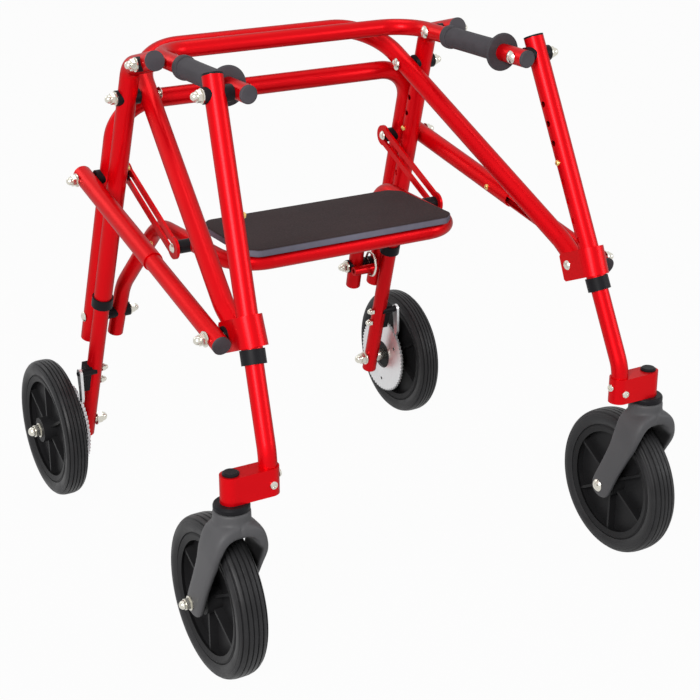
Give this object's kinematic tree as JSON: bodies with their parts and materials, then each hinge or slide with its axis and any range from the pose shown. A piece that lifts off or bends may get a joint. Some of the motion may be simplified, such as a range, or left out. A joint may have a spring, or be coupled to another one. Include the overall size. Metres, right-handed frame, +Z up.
{
  "type": "posterior walker",
  "caption": "Folding posterior walker with a red tube frame, hand grips, swivelling front casters, ratchet rear wheels and a fold-up seat between the side frames.",
  "frame": {"origin": "centre of the bounding box on the floor, midway between the front and rear axles", "axes": "+X to the left hand of the person walking, +Y to the rear where the crossbars are, +Z up; the user stands inside and faces -Y"},
  "size_m": [0.705, 0.752, 0.6938],
  "materials": {
    "red_paint": "satin metallic",
    "black_plastic": "fine matt",
    "bright_steel": "bright plated",
    "zinc_steel": "zinc plated",
    "grip_rubber": "soft matt",
    "grey_plastic": "moulded, fine texture",
    "rim_plastic": "moulded satin",
    "tyre_rubber": "matt grooved",
    "seat_pad": "matt grained vinyl",
    "brass_button": "polished"
  },
  "bodies": {
    "back_frame": {"back_tube": "red_paint"},
    "front_frame": {"front_uprights": "red_paint", "clamps": "red_paint", "front_trim": "black_plastic", "clamp_bolts": "bright_steel"},
    "handle": {"handle_tube": "red_paint", "grips": "grip_rubber", "handle_caps": "grip_rubber", "handle_bolts": "bright_steel"},
    "rear_frame": {"rear_uprights": "red_paint", "lower_tube": "red_paint", "rear_trim": "black_plastic", "rear_bolts": "bright_steel"},
    "strut_lower": {"strut_inner": "red_paint", "strut_caps": "grip_rubber"},
    "seat": {"seat_tube": "red_paint", "seat_board": "seat_pad", "seat_bolts": "bright_steel", "seat_saddles": "black_plastic"},
    "links": {"links": "red_paint"},
    "strut_upper_l": {"strut_outer_l": "red_paint", "strut_nuts_l": "bright_steel"},
    "front_leg_l": {"front_leg_l": "red_paint", "caster_bracket_l": "red_paint", "bracket_bolts_l": "bright_steel", "stem_plugs_l": "black_plastic"},
    "caster_l": {"fork_l": "grey_plastic", "fork_axle_l": "bright_steel"},
    "front_wheel_l": {"front_rim_l": "rim_plastic", "front_tyre_l": "tyre_rubber"},
    "rear_leg_l": {"rear_leg_l": "red_paint", "rear_axle_l": "bright_steel", "pawl_bracket_l": "black_plastic"},
    "rear_wheel_l": {"rear_rim_l": "rim_plastic", "rear_tyre_l": "tyre_rubber", "ratchet_l": "zinc_steel"},
    "pawl_l": {"pawl_l": "zinc_steel"},
    "front_button_l": {"front_button_l": "brass_button"},
    "rear_button_l": {"rear_button_l": "brass_button"},
    "strut_button_l": {"strut_button_l": "brass_button"},
    "strut_upper_r": {"strut_outer_r": "red_paint", "strut_nuts_r": "bright_steel"},
    "front_leg_r": {"front_leg_r": "red_paint", "caster_bracket_r": "red_paint", "bracket_bolts_r": "bright_steel", "stem_plugs_r": "black_plastic"},
    "caster_r": {"fork_r": "grey_plastic", "fork_axle_r": "bright_steel"},
    "front_wheel_r": {"front_rim_r": "rim_plastic", "front_tyre_r": "tyre_rubber"},
    "rear_leg_r": {"rear_leg_r": "red_paint", "rear_axle_r": "bright_steel", "pawl_bracket_r": "black_plastic"},
    "rear_wheel_r": {"rear_rim_r": "rim_plastic", "rear_tyre_r": "tyre_rubber", "ratchet_r": "zinc_steel"},
    "pawl_r": {"pawl_r": "zinc_steel"},
    "front_button_r": {"front_button_r": "brass_button"},
    "rear_button_r": {"rear_button_r": "brass_button"},
    "strut_button_r": {"strut_button_r": "brass_button"}
  },
  "joints": [
    {"name": "fold", "type": "hinge", "parent": "back_frame", "child": "rear_frame", "pos_m": [0, 0.109, 0.612], "axis": [-1, 0, 0], "range_deg": [0, 42]},
    {"name": "front_fold", "type": "hinge", "parent": "back_frame", "child": "front_frame", "pos_m": [0, -0.235, 0.408], "axis": [-1, 0, 0], "range_deg": [0, 14.63]},
    {"name": "handle_fold", "type": "hinge", "parent": "front_frame", "child": "handle", "pos_m": [0, -0.15491, 0.667], "axis": [-1, 0, 0], "range_deg": [-31.83, 0]},
    {"name": "strut_swing", "type": "hinge", "parent": "back_frame", "child": "strut_lower", "pos_m": [0, -0.235, 0.408], "axis": [-1, 0, 0], "range_deg": [-1.1, 0]},
    {"name": "strut_slide_l", "type": "slide", "parent": "strut_lower", "child": "strut_upper_l", "axis": [-0.0336, -0.9787, -0.2028], "range_m": [0, 0.09753]},
    {"name": "front_height_l", "type": "slide", "parent": "front_frame", "child": "front_leg_l", "axis": [-0.0676, -0.399, -0.9145], "range_m": [0, 0.06]},
    {"name": "rear_height_l", "type": "slide", "parent": "rear_frame", "child": "rear_leg_l", "axis": [-0.0353, 0.3099, -0.9501], "range_m": [0, 0.06]},
    {"name": "caster_swivel_l", "type": "hinge", "parent": "front_leg_l", "child": "caster_l", "pos_m": [-0.302, -0.32, 0], "axis": [0, 0, 1], "continuous": true},
    {"name": "front_spin_l", "type": "hinge", "parent": "caster_l", "child": "front_wheel_l", "pos_m": [-0.302, -0.276, 0.1], "axis": [-1, 0, 0], "continuous": true},
    {"name": "rear_spin_l", "type": "hinge", "parent": "rear_leg_l", "child": "rear_wheel_l", "pos_m": [-0.297, 0.276, 0.1], "axis": [-1, 0, 0], "continuous": true},
    {"name": "pawl_swing_l", "type": "hinge", "parent": "rear_leg_l", "child": "pawl_l", "pos_m": [-0.266, 0.238, 0.191], "axis": [-1, 0, 0], "range_deg": [0, 25]},
    {"name": "front_press_l", "type": "slide", "parent": "front_frame", "child": "front_button_l", "axis": [-1, 0, 0], "range_m": [0, 0.0022], "stiffness_N_per_m": 900},
    {"name": "rear_press_l", "type": "slide", "parent": "rear_frame", "child": "rear_button_l", "axis": [-1, 0, 0], "range_m": [0, 0.0022], "stiffness_N_per_m": 900},
    {"name": "strut_press_l", "type": "slide", "parent": "strut_upper_l", "child": "strut_button_l", "axis": [-1, 0, 0], "range_m": [0, 0.0022], "stiffness_N_per_m": 900},
    {"name": "strut_slide_r", "type": "slide", "parent": "strut_lower", "child": "strut_upper_r", "axis": [0.0336, -0.9787, -0.2028], "range_m": [0, 0.09753]},
    {"name": "front_height_r", "type": "slide", "parent": "front_frame", "child": "front_leg_r", "axis": [0.0676, -0.399, -0.9145], "range_m": [0, 0.06]},
    {"name": "rear_height_r", "type": "slide", "parent": "rear_frame", "child": "rear_leg_r", "axis": [0.0353, 0.3099, -0.9501], "range_m": [0, 0.06]},
    {"name": "caster_swivel_r", "type": "hinge", "parent": "front_leg_r", "child": "caster_r", "pos_m": [0.302, -0.32, 0], "axis": [0, 0, 1], "continuous": true},
    {"name": "front_spin_r", "type": "hinge", "parent": "caster_r", "child": "front_wheel_r", "pos_m": [0.302, -0.276, 0.1], "axis": [-1, 0, 0], "continuous": true},
    {"name": "rear_spin_r", "type": "hinge", "parent": "rear_leg_r", "child": "rear_wheel_r", "pos_m": [0.297, 0.276, 0.1], "axis": [-1, 0, 0], "continuous": true},
    {"name": "pawl_swing_r", "type": "hinge", "parent": "rear_leg_r", "child": "pawl_r", "pos_m": [0.266, 0.238, 0.191], "axis": [-1, 0, 0], "range_deg": [0, 25]},
    {"name": "front_press_r", "type": "slide", "parent": "front_frame", "child": "front_button_r", "axis": [1, 0, 0], "range_m": [0, 0.0022], "stiffness_N_per_m": 900},
    {"name": "rear_press_r", "type": "slide", "parent": "rear_frame", "child": "rear_button_r", "axis": [1, 0, 0], "range_m": [0, 0.0022], "stiffness_N_per_m": 900},
    {"name": "strut_press_r", "type": "slide", "parent": "strut_upper_r", "child": "strut_button_r", "axis": [1, 0, 0], "range_m": [0, 0.0022], "stiffness_N_per_m": 900},
    {"name": "seat_fold", "type": "hinge", "parent": "rear_frame", "child": "seat", "pos_m": [0, 0.24752, 0.27244], "axis": [-1, 0, 0], "range_deg": [0, 35]},
    {"name": "link_swing", "type": "hinge", "parent": "seat", "child": "links", "pos_m": [0, 0.034, 0.427], "axis": [-1, 0, 0], "range_deg": [0, 53.5]}
  ],
  "couplings": [
    {"joint": "front_fold", "follows": "fold", "ratio": 0.34708},
    {"joint": "handle_fold", "follows": "fold", "ratio": -0.75666},
    {"joint": "strut_swing", "follows": "fold", "ratio": -0.025078},
    {"joint": "strut_slide_l", "follows": "fold", "m_per_rad": 0.13302},
    {"joint": "strut_slide_r", "follows": "fold", "m_per_rad": 0.13302},
    {"joint": "link_swing", "follows": "seat_fold", "ratio": 1.524}
  ]
}
